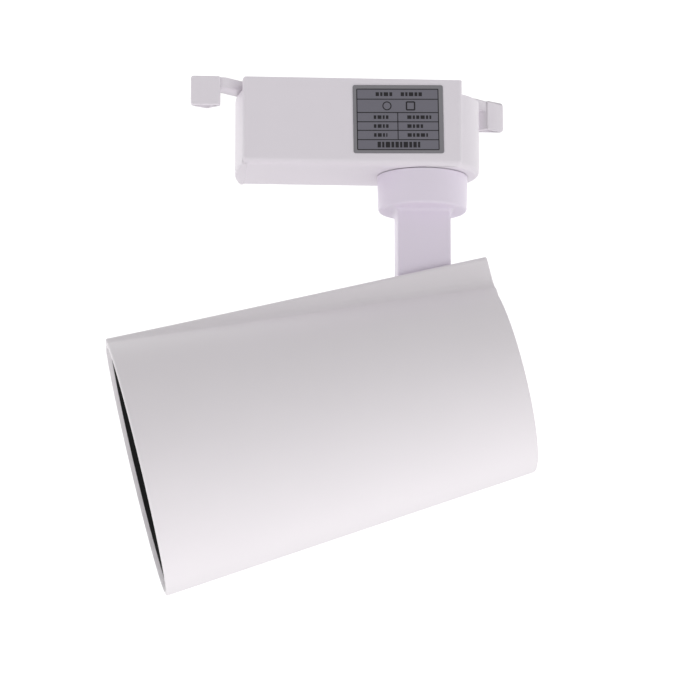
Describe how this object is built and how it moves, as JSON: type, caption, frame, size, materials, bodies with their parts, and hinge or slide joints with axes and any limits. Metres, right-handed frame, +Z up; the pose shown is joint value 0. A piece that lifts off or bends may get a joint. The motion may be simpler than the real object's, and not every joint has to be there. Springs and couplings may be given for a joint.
{
  "type": "track spotlight",
  "caption": "Track spotlight with a driver box that locks into a two-wire track, a swivel collar and arm, and a tilting conical head.",
  "frame": {"origin": "centre of the adapter's face that seats against the track, midway between the two turrets", "axes": "+Z up into the track, +X along the track towards the swivel, -Y the labelled front"},
  "size_m": [0.1543, 0.0926, 0.1882],
  "materials": {
    "white_moulding": "fine satin moulded ABS",
    "white_cast": "fine matt powder coat on die-cast aluminium",
    "label_foil": "printed grey foil",
    "circuit_board": "green solder mask",
    "dark_parts": "moulded component bodies",
    "nylon": "natural nylon",
    "zinc_steel": "zinc-plated steel",
    "copper": "bare contact copper",
    "black_baffle": "semi-gloss black",
    "clear_glass": "clear float glass",
    "silicone": "translucent silicone",
    "spun_aluminium": "bright spun and anodised",
    "cast_aluminium": "plain cast",
    "ceramic": "ceramic base with a phosphor spot"
  },
  "bodies": {
    "adapter": {"adapter_housing": "white_moulding", "adapter_cover": "white_moulding", "cover_screws": "zinc_steel", "rating_label": "label_foil", "driver_board": "circuit_board", "transformer": "dark_parts", "capacitors": "dark_parts", "choke": "dark_parts", "rectifier": "dark_parts", "fuse": "dark_parts", "contact_wipers": "copper", "swivel_bush": "nylon", "swivel_washer": "nylon"},
    "contact_turret": {"contact_lever": "white_moulding", "contact_blades": "copper", "contact_lever_clip": "zinc_steel"},
    "lock_turret": {"lock_lever": "white_moulding", "lock_wing": "zinc_steel", "lock_lever_clip": "zinc_steel"},
    "swivel": {"swivel_arm": "white_moulding", "swivel_nipple": "zinc_steel", "swivel_wave_washer": "zinc_steel", "swivel_nut": "zinc_steel"},
    "head": {"head_housing": "white_cast", "pivot_bracket": "zinc_steel", "bracket_screws": "zinc_steel", "friction_washers": "nylon", "pivot_bolt": "zinc_steel", "pivot_nut": "zinc_steel", "front_baffle": "black_baffle", "lens": "clear_glass", "lens_gasket": "silicone", "reflector": "spun_aluminium", "led_module": "ceramic", "thermal_pad": "silicone", "led_holder": "nylon", "led_holder_screws": "zinc_steel", "heat_sink": "cast_aluminium", "heat_sink_screws": "zinc_steel", "rear_grille": "white_cast", "grille_screws": "zinc_steel"}
  },
  "joints": [
    {"name": "contact_lever_turn", "type": "hinge", "parent": "adapter", "child": "contact_turret", "pos_m": [-0.0266, 0, 0], "axis": [0, 0, -1], "range_deg": [0, 66]},
    {"name": "lock_lever_turn", "type": "hinge", "parent": "adapter", "child": "lock_turret", "pos_m": [0.0266, 0, 0], "axis": [0, 0, -1], "range_deg": [0, 66]},
    {"name": "swivel_turn", "type": "hinge", "parent": "adapter", "child": "swivel", "pos_m": [0.0266, 0, -0.0323], "axis": [0, 0, 1], "range_deg": [-165, 165]},
    {"name": "head_tilt", "type": "hinge", "parent": "swivel", "child": "head", "pos_m": [0.0266, 0, -0.0802], "axis": [0, -1, 0], "range_deg": [-14.2, 75.8]}
  ]
}
